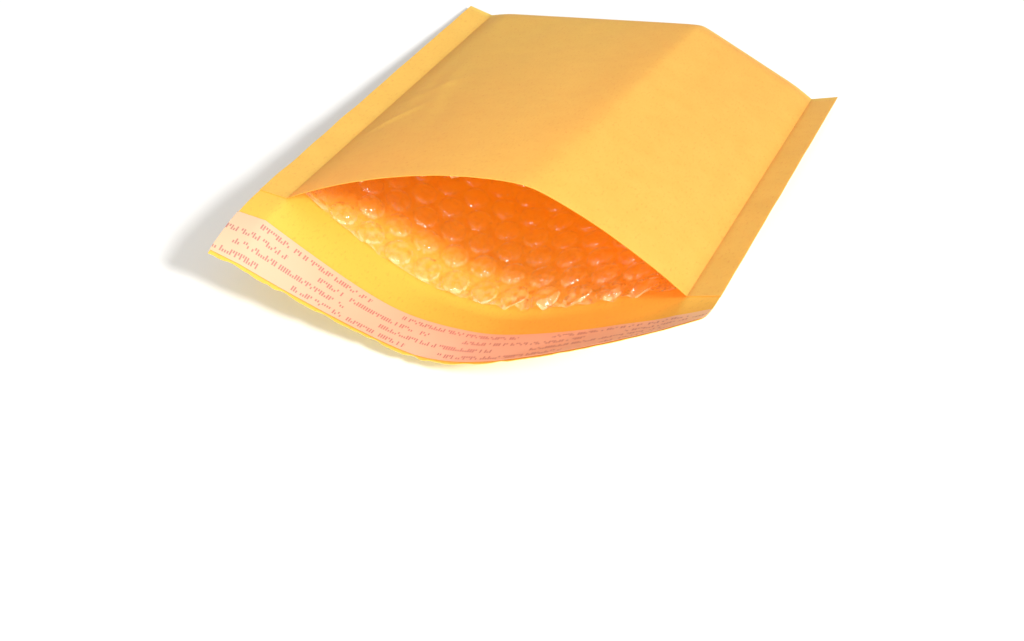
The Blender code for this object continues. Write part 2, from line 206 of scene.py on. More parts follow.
def frontRelief(u, w):
    # the product of two slanting wobbles plus the wrinkles, fading to nothing at the creases and the fold
    p, s = u * halfWidth, w * length
    acrossLength, alongLength = relief["lengths"]
    acrossSlant, alongSlant = relief["slants"]
    height = relief["height"] * wobble(p + acrossSlant * s, acrossLength, 3)
    height = height * wobble(s + alongSlant * p, alongLength, 4)
    for start, end, width, top in relief["wrinkles"]:
        height = height + top * wrinkle(p, s, start, end, width)
    height = height * rise((1 - np.abs(u)) * halfWidth / relief["fromCrease"])
    return height * rise(w * length / relief["fromFold"])


# Meshes

def putMesh(name, points, faces, flat, attributes, material, sharp):
    # points and flat are arrays in millimetres, one row a vertex, and each is taken times 0.001 for metres.
    # flat is the place on the unfolded sheet, for the pattern; faces is a list of arrays, one row a face.
    mesh = bpy.data.meshes.new(name)
    mesh.from_pydata((points * mm).tolist(), [], [face for group in faces for face in group.tolist()])
    corners = np.empty(len(mesh.loops), dtype=np.int64)
    mesh.loops.foreach_get("vertex_index", corners)
    layer = mesh.uv_layers.new(name="sheet")
    layer.data.foreach_set("uv", (flat * mm)[corners].ravel())
    for key, values in attributes.items():
        attribute = mesh.attributes.new(key, "FLOAT", "POINT")
        attribute.data.foreach_set("value", np.ascontiguousarray(values, dtype=np.float32).ravel())
    mesh.materials.append(material)
    mesh.shade_smooth()
    mesh.set_sharp_from_angle(angle=math.radians(sharp))
    piece = bpy.data.objects.new(name, mesh)
    bpy.context.scene.collection.objects.link(piece)
    return piece


def gridFaces(numbers):
    # one quad for each cell of a grid of vertex numbers: its corner and the next ones across and along
    corners = [numbers[:-1, :-1], numbers[:-1, 1:], numbers[1:, 1:], numbers[1:, :-1]]
    return np.stack(corners, -1).reshape(-1, 4)


def closedSheet(outer, inner):
    # two skins, the outer one's faces looking out and the inner one's turned round, and strips along all
    # four edges
    count = outer.shape[0] * outer.shape[1]
    first = np.arange(count).reshape(outer.shape[:2])
    second = first + count
    faces = [gridFaces(first), gridFaces(second)[:, ::-1]]
    for one, other in ((first[:, 0], second[:, 0]), (first[::-1, -1], second[::-1, -1]),
                       (first[0, ::-1], second[0, ::-1]), (first[-1], second[-1])):
        faces.append(np.stack([one[:-1], one[1:], other[1:], other[:-1]], -1))
    points = np.concatenate([outer.reshape(-1, 3), inner.reshape(-1, 3)])
    return points, faces


# Materials

def linear(hexColour):
    # sRGB to linear: near black a twelfth, above that the power 2.4 of the value moved up by 0.055
    srgb = [int(hexColour[k:k + 2], 16) / 255 for k in (0, 2, 4)]
    return tuple(c / 12.92 if c <= 0.04045 else ((c + 0.055) / 1.055) ** 2.4 for c in srgb) + (1.0,)


def addNode(tree, kind, settings=None, inputs=None):
    # settings are the node's own properties; an input is a value, a socket, or a node, whose first output it
    # then takes
    node = tree.nodes.new(kind)
    for key, value in (settings or {}).items():
        setattr(node, key, value)
    for key, value in (inputs or {}).items():
        if isinstance(value, bpy.types.Node):
            value = value.outputs[0]
        if isinstance(value, bpy.types.NodeSocket):
            tree.links.new(value, node.inputs[key])
        else:
            node.inputs[key].default_value = value
    return node


def newMaterial(name):
    # a material and its empty node tree
    material = bpy.data.materials.new(name)
    material.use_nodes = True
    tree = material.node_tree
    tree.nodes.clear()
    return material, tree


def kraftPaper(look):
    # Kraft paper: long unbleached pulp fibres pressed and calendered on one side.
    # The eye sees a matt golden sheet with a faint cloudy formation and fine fibre flecks,
    # and light that comes through it turns orange. The inner face is drawn more orange,
    # and more orange again deeper in the pocket: painted orange bounce light and shade.
    material, tree = newMaterial("kraftPaper")
    sheet = addNode(tree, "ShaderNodeUVMap", {"uv_map": "sheet"})
    inside = addNode(tree, "ShaderNodeAttribute", {"attribute_name": "inside"})
    depth = addNode(tree, "ShaderNodeAttribute", {"attribute_name": "depth"})
    cloud = addNode(tree, "ShaderNodeTexNoise",
                    inputs={"Scale": 1 / (look["cloudSize"] * mm), "Detail": 3.0, "Roughness": 0.6,
                            "Vector": sheet})
    stretched = addNode(tree, "ShaderNodeMapping",
                        inputs={"Scale": (1.0, look["fibreStretch"], 1.0), "Vector": sheet})
    fibre = addNode(tree, "ShaderNodeTexNoise",
                    inputs={"Scale": 1 / (look["fibreSize"] * mm), "Detail": 4.0, "Roughness": 0.7,
                            "Vector": stretched})
    outside = addNode(tree, "ShaderNodeMix", {"data_type": "RGBA"},
                      {"Factor": cloud, "A": linear(look["outsideDark"]), "B": linear(look["outsideLight"])})
    # the inner face: painted orange bounce light, going over to painted deeper shade by depth into the pocket
    innerWithPaintedShade = addNode(tree, "ShaderNodeMix", {"data_type": "RGBA"},
                     {"Factor": depth.outputs["Fac"], "A": linear(look["inside"]), "B": linear(look["deep"])})
    both = addNode(tree, "ShaderNodeMix", {"data_type": "RGBA"},
                   {"Factor": inside.outputs["Fac"], "A": outside.outputs["Result"],
                    "B": innerWithPaintedShade.outputs["Result"]})
    fleckMask = addNode(tree, "ShaderNodeMapRange",
                        inputs={"From Min": look["fleckFrom"], "From Max": look["fleckFull"],
                                "To Max": look["fleck"], "Value": fibre})
    flecked = addNode(tree, "ShaderNodeMix", {"data_type": "RGBA"},
                      {"Factor": fleckMask, "A": both.outputs["Result"], "B": linear(look["fleckColour"])})
    # a brown line along the creases: painted shade where the panel meets the flange
    crease = addNode(tree, "ShaderNodeAttribute", {"attribute_name": "crease"})
    creaseShadeShare = addNode(tree, "ShaderNodeMath", {"operation": "MULTIPLY"},
                          {0: crease.outputs["Fac"], 1: look["creaseShadeShare"]})
    creaseShaded = addNode(tree, "ShaderNodeMix", {"data_type": "RGBA"},
                      {"Factor": creaseShadeShare, "A": flecked.outputs["Result"],
                       "B": linear(look["paintedCreaseShade"])})
    rough = addNode(tree, "ShaderNodeMapRange",
                    inputs={"To Min": look["smoothest"], "To Max": look["roughest"], "Value": cloud})
    bump = addNode(tree, "ShaderNodeBump", inputs={"Distance": look["fibreHeight"] * mm, "Height": fibre})
    front = addNode(tree, "ShaderNodeBsdfPrincipled",
                    inputs={"IOR": look["ior"], "Base Color": creaseShaded.outputs["Result"], "Roughness": rough,
                            "Normal": bump})
    through = addNode(tree, "ShaderNodeBsdfTranslucent", inputs={"Color": linear(look["through"])})
    share = addNode(tree, "ShaderNodeAttribute", {"attribute_name": "through"})
    mixed = addNode(tree, "ShaderNodeMixShader", inputs={"Fac": share.outputs["Fac"], 1: front, 2: through})
    addNode(tree, "ShaderNodeOutputMaterial", inputs={"Surface": mixed})
    return material


def bubbleFilm(look):
    # Low-density polyethylene film, cast, vacuum formed into bubbles and sealed to a flat backing.
    # The eye sees through it: only sharp highlights show, and a little milk where it is drawn thin or sealed.
    # The milk on the bubble walls is partly that and partly a painted rim reflection; milk at the cut edge
    # is painted glints, and the milk's fade inwards is painted shade.
    material, tree = newMaterial("bubbleFilm")
    milk = addNode(tree, "ShaderNodeAttribute", {"attribute_name": "milk"})
    sheet = addNode(tree, "ShaderNodeUVMap", {"uv_map": "sheet"})
    stretched = addNode(tree, "ShaderNodeMapping",
                        inputs={"Scale": (look["streak"], 1.0, 1.0), "Vector": sheet})
    crinkle = addNode(tree, "ShaderNodeTexNoise",
                      inputs={"Scale": 1 / (look["crinkleSize"] * mm), "Detail": 3.0, "Vector": stretched})
    patch = addNode(tree, "ShaderNodeTexNoise",
                    inputs={"Scale": 1 / (look["patchSize"] * mm), "Detail": 2.0, "Vector": sheet})
    patchy = addNode(tree, "ShaderNodeMapRange",
                     inputs={"From Min": look["patchFrom"], "From Max": look["patchFull"],
                             "To Min": look["leastPatch"], "To Max": look["mostPatch"], "Value": patch})
    milkPatch = addNode(tree, "ShaderNodeMath", {"operation": "MULTIPLY"},
                        {0: milk.outputs["Fac"], 1: patchy})
    crumple = addNode(tree, "ShaderNodeAttribute", {"attribute_name": "crumple"})
    strength = addNode(tree, "ShaderNodeMapRange",
                       inputs={"To Min": look["bump"], "To Max": look["edgeBump"],
                               "Value": crumple.outputs["Fac"]})
    bump = addNode(tree, "ShaderNodeBump",
                   inputs={"Distance": look["crinkleHeight"] * mm, "Height": crinkle, "Strength": strength})
    facets = addNode(tree, "ShaderNodeTexVoronoi",
                     inputs={"Scale": 1 / (look["facetSize"] * mm), "Vector": sheet})
    tilt = addNode(tree, "ShaderNodeVectorMath", {"operation": "SUBTRACT"},
                   {0: facets.outputs["Color"], 1: (0.5, 0.5, 0.5)})
    tiltShare = addNode(tree, "ShaderNodeMapRange",
                        inputs={"To Min": look["tilt"], "To Max": look["edgeTilt"],
                                "Value": crumple.outputs["Fac"]})
    tilted = addNode(tree, "ShaderNodeVectorMath", {"operation": "SCALE"}, {0: tilt, "Scale": tiltShare})
    turned = addNode(tree, "ShaderNodeVectorMath", {"operation": "ADD"}, {0: bump, 1: tilted})
    normal = addNode(tree, "ShaderNodeVectorMath", {"operation": "NORMALIZE"}, {0: turned})
    gloss = addNode(tree, "ShaderNodeBsdfAnisotropic",
                    inputs={"Color": linear("FFFFFF"), "Roughness": look["roughness"], "Normal": normal})
    clear = addNode(tree, "ShaderNodeBsdfTransparent", inputs={"Color": linear(look["clear"])})
    fresnel = addNode(tree, "ShaderNodeFresnel", inputs={"IOR": look["ior"], "Normal": normal})
    geometry = addNode(tree, "ShaderNodeNewGeometry")
    facing = addNode(tree, "ShaderNodeMath", {"operation": "SUBTRACT"},
                     {0: 1.0, 1: geometry.outputs["Backfacing"]})
    shine = addNode(tree, "ShaderNodeMath", {"operation": "MULTIPLY"}, {0: fresnel, 1: facing})
    pane = addNode(tree, "ShaderNodeMixShader", inputs={"Fac": shine, 1: clear, 2: gloss})
    body = addNode(tree, "ShaderNodeBsdfPrincipled",
                   inputs={"Base Color": linear(look["milk"]), "Roughness": look["roughness"],
                           "IOR": look["milkIor"], "Normal": bump})
    share = addNode(tree, "ShaderNodeMapRange", inputs={"To Max": look["milkyShare"], "Value": milkPatch})
    mixed = addNode(tree, "ShaderNodeMixShader", inputs={"Fac": share, 1: pane, 2: body})
    addNode(tree, "ShaderNodeOutputMaterial", inputs={"Surface": mixed})
    return material


def releaseLiner(look):
    # Glassine with a silicone coat: a smooth, faintly translucent paper with a low gloss.
    # It is printed in one colour with rows of short marks, drawn here as plain bars. A bar shows where the
    # masks of its group, place, chance and row are all 1, and chance leaves some bars an upper or lower half.
    material, tree = newMaterial("releaseLiner")
    sheet = addNode(tree, "ShaderNodeUVMap", {"uv_map": "sheet"})
    apart = addNode(tree, "ShaderNodeSeparateXYZ", inputs={"Vector": sheet})
    across, along = apart.outputs["Y"], apart.outputs["X"]
    rowPlace = addNode(tree, "ShaderNodeMath", {"operation": "DIVIDE"}, {0: across, 1: look["rowPitch"] * mm})
    row = addNode(tree, "ShaderNodeMath", {"operation": "FLOOR"}, {0: rowPlace})
    inRow = addNode(tree, "ShaderNodeMath", {"operation": "FRACT"}, {0: rowPlace})
    shift = addNode(tree, "ShaderNodeMath", {"operation": "MULTIPLY"}, {0: row, 1: look["rowShift"] * mm})
    place = addNode(tree, "ShaderNodeMath", {"operation": "ADD"}, {0: along, 1: shift})
    groupPlace = addNode(tree, "ShaderNodeMath", {"operation": "DIVIDE"},
                         {0: place, 1: look["groupPitch"] * mm})
    inGroup = addNode(tree, "ShaderNodeMath", {"operation": "FRACT"}, {0: groupPlace})
    groupMask = addNode(tree, "ShaderNodeMath", {"operation": "LESS_THAN"},
                        {0: inGroup, 1: look["groupShare"]})
    markPlace = addNode(tree, "ShaderNodeMath", {"operation": "DIVIDE"},
                        {0: place, 1: look["markPitch"] * mm})
    mark = addNode(tree, "ShaderNodeMath", {"operation": "FLOOR"}, {0: markPlace})
    inMark = addNode(tree, "ShaderNodeMath", {"operation": "FRACT"}, {0: markPlace})
    markMask = addNode(tree, "ShaderNodeMath", {"operation": "LESS_THAN"}, {0: inMark, 1: look["markShare"]})
    markAndRow = addNode(tree, "ShaderNodeCombineXYZ", inputs={"X": mark, "Y": row})
    chance = addNode(tree, "ShaderNodeTexWhiteNoise", {"noise_dimensions": "2D"}, {"Vector": markAndRow})
    chanceMask = addNode(tree, "ShaderNodeMath", {"operation": "GREATER_THAN"},
                         {0: chance, 1: look["gapChance"]})
    fromMiddle = addNode(tree, "ShaderNodeMath", {"operation": "SUBTRACT"}, {0: inRow, 1: 0.5})
    offMiddle = addNode(tree, "ShaderNodeMath", {"operation": "ABSOLUTE"}, {0: fromMiddle})
    rowMask = addNode(tree, "ShaderNodeMath", {"operation": "LESS_THAN"},
                      {0: offMiddle, 1: look["markHeight"] / look["rowPitch"] / 2})
    lowHalf = addNode(tree, "ShaderNodeMath", {"operation": "LESS_THAN"}, {0: inRow, 1: 0.5})
    highHalf = addNode(tree, "ShaderNodeMath", {"operation": "SUBTRACT"}, {0: 1.0, 1: lowHalf})
    noLow = addNode(tree, "ShaderNodeMath", {"operation": "GREATER_THAN"}, {0: chance, 1: look["halfChance"]})
    noHigh = addNode(tree, "ShaderNodeMath", {"operation": "LESS_THAN"},
                     {0: chance, 1: look["gapChance"] + 1 - look["halfChance"]})
    lostLow = addNode(tree, "ShaderNodeMath", {"operation": "MULTIPLY"}, {0: noLow, 1: lowHalf})
    lostHigh = addNode(tree, "ShaderNodeMath", {"operation": "MULTIPLY"}, {0: noHigh, 1: highHalf})
    lost = addNode(tree, "ShaderNodeMath", {"operation": "ADD"}, {0: lostLow, 1: lostHigh})
    printed = addNode(tree, "ShaderNodeMath", {"operation": "SUBTRACT"}, {0: 1.0, 1: lost})
    for mask in (groupMask, markMask, chanceMask, rowMask):
        printed = addNode(tree, "ShaderNodeMath", {"operation": "MULTIPLY"}, {0: printed, 1: mask})
    ink = addNode(tree, "ShaderNodeMath", {"operation": "MULTIPLY"}, {0: printed, 1: look["ink"]})

    # painted light: the sheet is drawn in three colours from left to right, for orange bounce light and shade
    # from the paper round it
    first, second, third = (stop * mm for stop in look["paintedLightStops"])
    nearEnd = addNode(tree, "ShaderNodeMapRange",
                      inputs={"From Min": first, "From Max": second, "Value": along})
    farEnd = addNode(tree, "ShaderNodeMapRange",
                     inputs={"From Min": second, "From Max": third, "Value": along})
    linerPaintedLight = addNode(tree, "ShaderNodeMix", {"data_type": "RGBA"},
                          {"Factor": nearEnd, "A": linear(look["left"]), "B": linear(look["right"])})
    linerAllPaintedLight = addNode(tree, "ShaderNodeMix", {"data_type": "RGBA"},
                          {"Factor": farEnd, "A": linerPaintedLight.outputs["Result"],
                           "B": linear(look["farRightPaintedLight"])})
    colour = addNode(tree, "ShaderNodeMix", {"data_type": "RGBA"},
                     {"Factor": ink, "A": linerAllPaintedLight.outputs["Result"], "B": linear(look["inkColour"])})
    shader = addNode(tree, "ShaderNodeBsdfPrincipled",
                     inputs={"Roughness": look["roughness"], "IOR": look["ior"],
                             "Base Color": colour.outputs["Result"]})
    addNode(tree, "ShaderNodeOutputMaterial", inputs={"Surface": shader})
    return material


def hotMelt(look):
    # Hot-melt adhesive, laid down by a nozzle: a clear amber rubbery coat with the nozzle's ribs.
    # A wave texture has a band every 2 pi / 20 of its unit.
    material, tree = newMaterial("hotMeltAdhesive")
    sheet = addNode(tree, "ShaderNodeUVMap", {"uv_map": "sheet"})
    ribs = addNode(tree, "ShaderNodeTexWave", {"bands_direction": "Y"},
                   {"Scale": 2 * math.pi / 20 / (look["ribPitch"] * mm), "Distortion": look["unevenness"],
                    "Detail": 1.0, "Vector": sheet})
    bump = addNode(tree, "ShaderNodeBump",
                   inputs={"Strength": look["ribStrength"], "Distance": look["ribHeight"] * mm,
                           "Height": ribs.outputs["Fac"]})
    colour = addNode(tree, "ShaderNodeMix", {"data_type": "RGBA"},
                     {"Factor": ribs.outputs["Fac"], "A": linear(look["dark"]), "B": linear(look["light"])})
    shader = addNode(tree, "ShaderNodeBsdfPrincipled",
                     inputs={"Roughness": look["roughness"], "IOR": look["ior"],
                             "Base Color": colour.outputs["Result"], "Normal": bump})
    addNode(tree, "ShaderNodeOutputMaterial", inputs={"Surface": shader})
    return material


# The folded sheet of paper

paperSheet = {
    "acrossStep": 1.25,      # grid spacing across the sheet
    "alongStep": 2.4,
    "flangeSteps": 6,
    "foldSteps": 7,
    "plyGap": 0.04,          # between the two plies of a flange
    "leastRound": 0.08,      # bulge of the fold where the panels lie on each other
    "raggedness": 0.55,      # how far the torn edge of the flap wanders
    "tearLengths": (5.0, 17.0), "fineTear": 0.6, "tearBack": 0.2,
    "waveHeight": 0.25, "waveLength": 38, "waveShift": 31,  # swells of the flanges, another place on each
    "waveFade": 10,          # they are full a tenth of the way in from the fold and the mouth
    "paintedShadeDeepAt": 60.0,          # how far in from the mouth the inner face gets its deepest colour, the painted shade deep in the pocket
    # width of the painted shade along the creases
    "creaseShadeWidth": 1.3,
    # share of light that a skin lets through, on the back, which lies on the floor, and on the front
    "throughOutside": (0.15, 0.5), "throughInside": (0.2, 0.64),
    # the left of the front lets less light through, from a u over a run: painted shade on that side
    "leftShadeShare": 0.22, "lessFrom": 0.5, "lessRun": 0.6,
    "flangeShares": (0.7, 0.75),
    "foldBlend": 8.0, "flangeBlend": 1.2,  # runs in which the shares change, round the fold and at a crease
    "look": {
        # inside and deep paint orange bounce light on the inner face, darker and more orange deeper in
        "outsideLight": "F4E874", "outsideDark": "E6D25C", "inside": "FFCA50", "deep": "FFC020",
        "fleckColour": "C98A3A", "fleck": 0.55, "fleckFrom": 0.55, "fleckFull": 0.75,
        "cloudSize": 9.0,       # real formation clouds are 5 to 10 mm wide
        "fibreSize": 0.9, "fibreStretch": 0.35, "fibreHeight": 0.06,  # coarser than real fibres, so they show
        # the painted crease shade: its colour and share
        "paintedCreaseShade": "B87A30", "creaseShadeShare": 0.15,
        "smoothest": 0.52, "roughest": 0.7, "ior": 1.5,
        "through": "FFC44E",
    },
}


def sheetColumns(settings):
    # u in the panel and the distance outside the crease in the flanges, from left to right
    count = int(round(mailer["bodyWidth"] / settings["acrossStep"])) + 1
    u = np.linspace(-1, 1, count)
    out = np.linspace(0, mailer["flangeWidth"], settings["flangeSteps"] + 1)[1:]
    u = np.concatenate([-np.ones(len(out)), u, np.ones(len(out))])
    outside = np.concatenate([out[::-1], np.zeros(count), out])
    return u, outside


def overFlanges(u, outside, w, heights):
    # x is the crease or the place in the panel; the flange runs on outside it and turns up towards its edge
    left = blend(w, mailer["turnAtFold"][0], mailer["turnAtMouth"][0])
    right = blend(w, mailer["turnAtFold"][1], mailer["turnAtMouth"][1])
    share = outside / mailer["flangeWidth"]
    turn = np.where(u < 0, left, right) * share
    fade = paperSheet["waveFade"]
    wave = wobble(w * length + paperSheet["waveShift"] * np.sign(u), paperSheet["waveLength"], 11)
    wave = paperSheet["waveHeight"] * share * wave * rise(w * fade) * rise((1 - w) * fade)
    x = u * chord(w) + np.sign(u) * outside
    y = length * (1 - w) + 0 * x
    return np.stack([x, y, heights + turn + wave], -1)


def flapPoints(mouth, slope, t, edgeShift):
    # the flap leaves the mouth at the back panel's slope and bends to the free edge on a parabola, with its
    # length kept; past the crease at the right corner it tilts up by a share of the distance to the crease
    v = mouth[..., 0] / (chordMouth + mailer["flangeWidth"])
    low, high = mailer["edgeHeights"]
    ends = (low * (1 - v) + high * (1 + v)) / 2
    slack = mailer["edgeSlack"] * np.sin(np.clip(v, 0, 1) * np.pi)
    trough = mailer["edgeTrough"] * tent(v, mailer["edgePeak"], mailer["edgeSoftness"])
    edge = np.maximum(ends - trough - slack, 0)
    climb = edge - mouth[..., 2]
    flap = mailer["flapLength"]
    run = np.sqrt(np.maximum(flap ** 2 - climb ** 2, (mailer["steepestFlap"] * flap) ** 2))
    t = t[:, None] * (1 + edgeShift / flap)
    height = np.maximum(mouth[..., 2] + slope * t + (climb - slope) * t ** 2, 0)
    across, along = mailer["cornerCrease"]
    past = ((mouth[..., 0] - chordMouth) * along - t * flap * across) / np.hypot(across, along)
    past = np.maximum(past, 0)
    height = height + sum(swell * np.exp(-((v - place) / reach) ** 2) * np.sin(np.pi * t)
                          for place, reach, swell in mailer["flapSwells"])
    bend = mailer["cornerBend"] * past
    return np.stack([mouth[..., 0] + 0 * t, -run * t + mailer["cornerPull"] * bend, height + bend], -1)


def sheetAtMouth(u, outside):
    # the back panel's last row, and its slope there times the flap's length, from the row a small step before
    one = np.ones((1, 1))
    step = 0.03
    mouth = overFlanges(u, outside, one, backHeight(u, one))
    before = overFlanges(u, outside, one - step, backHeight(u, one - step))
    slope = (mouth[..., 2] - before[..., 2]) / step * mailer["flapLength"] / length
    return mouth, slope


def foldRows(front, back, bulge, steps):
    # half an ellipse from the front's last row round to the back's first
    angle = np.linspace(np.pi / 2, -np.pi / 2, steps + 2)[1:-1, None]
    middle = (front[..., 2] + back[..., 2]) / 2
    half = (front[..., 2] - back[..., 2]) / 2
    y = front[..., 1] + bulge * np.cos(angle)
    return np.stack([front[..., 0] + 0 * angle, y, middle + half * np.sin(angle)], -1), angle


def buildPaper():
    # Rows run from the lip over the front to the fold, round it, along the back to the mouth and out over
    # the flap. The outer skin is the inner one moved out by the paper's thickness, up on the front, down on
    # the back, and turning between them round the fold.
    u, outside = sheetColumns(paperSheet)
    rows = int(round(length / paperSheet["alongStep"])) + 1
    w = np.linspace(1, 0, rows)[:, None]
    front = overFlanges(u, outside, w, frontHeight(u, w) + frontRelief(u, w) + paperSheet["plyGap"])
    back = overFlanges(u, outside, w[::-1], backHeight(u, w[::-1]))
    bulge = np.maximum(mailer["foldRound"] * rise((1 - np.abs(u)) * chordFold / mailer["padRun"]),
                       paperSheet["leastRound"])
    fold, angle = foldRows(front[-1], back[0], bulge, paperSheet["foldSteps"])
    mouth, slope = sheetAtMouth(u, outside)
    flapRows = int(round(mailer["flapLength"] / paperSheet["alongStep"])) + 1
    t = np.linspace(0, 1, flapRows)[1:]
    flatX = u * halfWidth + np.sign(u) * outside
    fine, coarse = paperSheet["tearLengths"]
    ragged = wobble(flatX, fine, 21) * paperSheet["fineTear"] + wobble(flatX, coarse, 22)
    ragged = paperSheet["raggedness"] * ragged - paperSheet["tearBack"]
    flap = flapPoints(mouth, slope, t, np.minimum(ragged, 0.0))
    inner = np.concatenate([front, fold, back, flap])
    turn = np.concatenate([np.full((rows, 1), np.pi / 2), angle, np.full((rows + len(t), 1), -np.pi / 2)])
    out = np.stack([0 * turn, np.cos(turn), np.sin(turn)], -1)
    outer = inner + mailer["paper"] * out
    lift = np.array([0, mouthLine, mailer["paper"]])
    points, faces = closedSheet(outer + lift, inner + lift)
    path = np.concatenate([-length * w[:, 0], np.zeros(len(angle)), length * w[::-1, 0],
                           length + mailer["flapLength"] * t])
    flat = np.stack(np.broadcast_arrays(flatX, path[:, None]), -1).reshape(-1, 2)
    # how deep into the pocket a row lies, for the painted shade of the inner face
    depth = np.clip((length - np.abs(path)) / paperSheet["paintedShadeDeepAt"], 0, 1)
    depth = np.broadcast_to(depth[:, None], inner.shape[:2]).ravel()
    count = len(flat)
    fromCrease = (1 - np.abs(u)) * halfWidth + outside
    # a bell across each crease, where shade is painted
    crease = np.exp(-(fromCrease / paperSheet["creaseShadeWidth"]) ** 2) * (np.abs(path) <= length)[:, None]
    # less light through the left of the front panel, which paints that side duller: painted shade
    panel = 1 - paperSheet["leftShadeShare"] * np.clip((paperSheet["lessFrom"] - u) / paperSheet["lessRun"], 0, 1)
    flange = np.where(u < 0, *paperSheet["flangeShares"])
    onFlange = np.clip(outside / paperSheet["flangeBlend"], 0, 1)
    onFront = np.clip(0.5 - path / paperSheet["foldBlend"], 0, 1)[:, None]
    frontShare = (onFront * blend(onFlange, panel, flange)).ravel()
    through = [blend(frontShare, *paperSheet[skin]) for skin in ("throughOutside", "throughInside")]
    attributes = {"inside": np.repeat([0.0, 1.0], count), "depth": np.tile(depth, 2),
                  "crease": np.tile(crease.ravel(), 2), "through": np.concatenate(through)}
    return putMesh("paperEnvelope", points, faces, np.tile(flat, (2, 1)), attributes,
                   kraftPaper(paperSheet["look"]), 35)


# The lining of bubble film

lining = {
    "clearance": 0.3, "film": 0.25,
    "setback": 8.6,          # lip to the cut edge of the film
    "crease": 2.2, "fold": 2.4,
    "pitch": 12.5, "diameter": 10.9, "height": 3.6,
    "unevenness": 0.45,      # how much lower than the rest a bubble may be
    "cutHeight": 0.6,        # share of the height of a bubble that the cut edge runs through
    "room": 0.85,            # share of the room to the middle that a bubble may fill
    "leastRoom": 0.01, "crowding": 0.3,
    "pressed": 0.6, "pressedRun": 40.0,  # share of the height that bubbles keep deep inside, and how soon
    "segments": 12,
    "innerCrease": 7.0, "innerFold": 10.0, "lastRow": 1.5,  # plain film round the field of bubbles
    "borderStep": 2.5, "borderGap": 0.3, "sealedWithin": 0.955, "weld": 1e-5,
    "edgeWave": 0.5, "waveLength": 13.0, "waveFade": 6,
    "crumple": 1.0,          # how far the film near its cut edge is crushed up and down
    "crumpleLength": 6.0, "crumpleFade": 9,
    "crushedLeft": 0.5,      # share of the crumple on the left; it grows to the right from a place over a run
    "crushedFrom": -10, "crushedRun": 40, "clearOfCrease": 8, "creaseRun": 12,
    "creep": 4.5,            # how far the middle of the cut edge has slid towards the mouth
    "creepFade": 14,
    "paintedEdgeGlints": 0.9,         # milk right at the cut edge: a painted light-catching rim of glints
    "glintBand": 0.1,
    "haze": 0.75,            # milk of the flat film, strongest near that edge by the fade: painted light where light comes in at the mouth
    "leastMilk": 0.04,       # share of the milk that stays deep inside, where little light comes: painted shade
    "fade": 17.0,            # how fast milk and crumple fade away from the cut edge; the milk's fade is painted shade
    "look": {
        "clear": "FFFFFF", "milk": "FFE9B4", "milkyShare": 0.45, "roughness": 0.06,
        "ior": 1.5, "milkIor": 1.51,
        "crinkleSize": 1.5, "crinkleHeight": 0.5, "streak": 0.4, "bump": 0.55, "edgeBump": 0.9,
        "patchSize": 2.6, "patchFrom": 0.35, "patchFull": 0.65, "leastPatch": 0.1, "mostPatch": 1.4,
        "facetSize": 1.8, "tilt": 0.35, "edgeTilt": 0.85,
    },
}
# profile of a bubble from its seal to its flattened crown: shares of the radius, of the height, of the milk;
# the most milk, on the steep wall ring, is partly the stretched film's own and partly a painted rim
# reflection
profile = np.array([(1.0, 0.0, 0.2), (0.95, 0.38, 1.1), (0.86, 0.72, 0.35),
                    (0.58, 0.93, 0.4), (0.3, 0.99, 0.5)])


def filmHeight(u, w, side, depth):
    # a height this deep inside the front (+1) or back (-1) panel: the middle between them, plus the room
    # times one less the share; where the room runs out, deeper points crowd together short of the middle
    front, back = frontHeight(u, w) + frontRelief(u, w), backHeight(u, w)
    room = np.maximum((front - back) / 2, lining["leastRoom"])
    share = depth / room
    left = np.maximum(1 - share, (1 - lining["room"]) / (1 + lining["crowding"] * share))
    return (front + back) / 2 + side * room * left


def filmPoints(flat, side, depth):
    # flat is (across from the middle, distance from the fold). Near the cut edge the film lifts off the paper
    # in waves, and slides towards the mouth by the creep times one less the fourth power of u. Both die away
    # inwards as e to the power of minus the distance over their fade.
    p, s = flat[..., 0], flat[..., 1]
    toEdge = length - lining["setback"] - s
    wave = 1 + wobble(p, lining["waveLength"], 31 + side)
    wave = lining["edgeWave"] * wave * np.exp(-toEdge / lining["waveFade"])
    crushed = rise((p - lining["crushedFrom"]) / lining["crushedRun"])
    crushed = crushed * rise((halfWidth - lining["clearOfCrease"] - p) / lining["creaseRun"])
    crushed = lining["crushedLeft"] + crushed
    crumple = lining["crumple"] * crushed * wobble(p + s, lining["crumpleLength"], 41 + side)
    wave = wave + crumple * np.exp(-toEdge / lining["crumpleFade"])
    u = p / halfWidth
    s = s + lining["creep"] * (1 - u ** 4) * np.exp(-toEdge / lining["creepFade"])
    w = s / length
    return np.stack([u * chord(w), length - s, filmHeight(u, w, side, depth + wave)], -1)


def bubbleCentres():
    # rows half the root of 3 of a pitch apart, every other one shifted by half a pitch; the last row is cut
    # by the edge
    reach = halfWidth - lining["innerCrease"] - lining["pitch"] / 2
    first = lining["innerFold"] + lining["pitch"] / 2
    last = length - lining["setback"] - lining["lastRow"]
    rows = np.arange(first, last, lining["pitch"] * math.sqrt(3) / 2)
    count = int(2 * reach / lining["pitch"]) + 2
    across = (np.arange(count) - count // 2)[None, :] * lining["pitch"]
    across = across + (np.arange(len(rows)) % 2)[:, None] * lining["pitch"] / 2
    s = np.broadcast_to(rows[:, None], across.shape)
    keep = np.abs(across) < reach
    return np.stack([across[keep], s[keep]], -1)


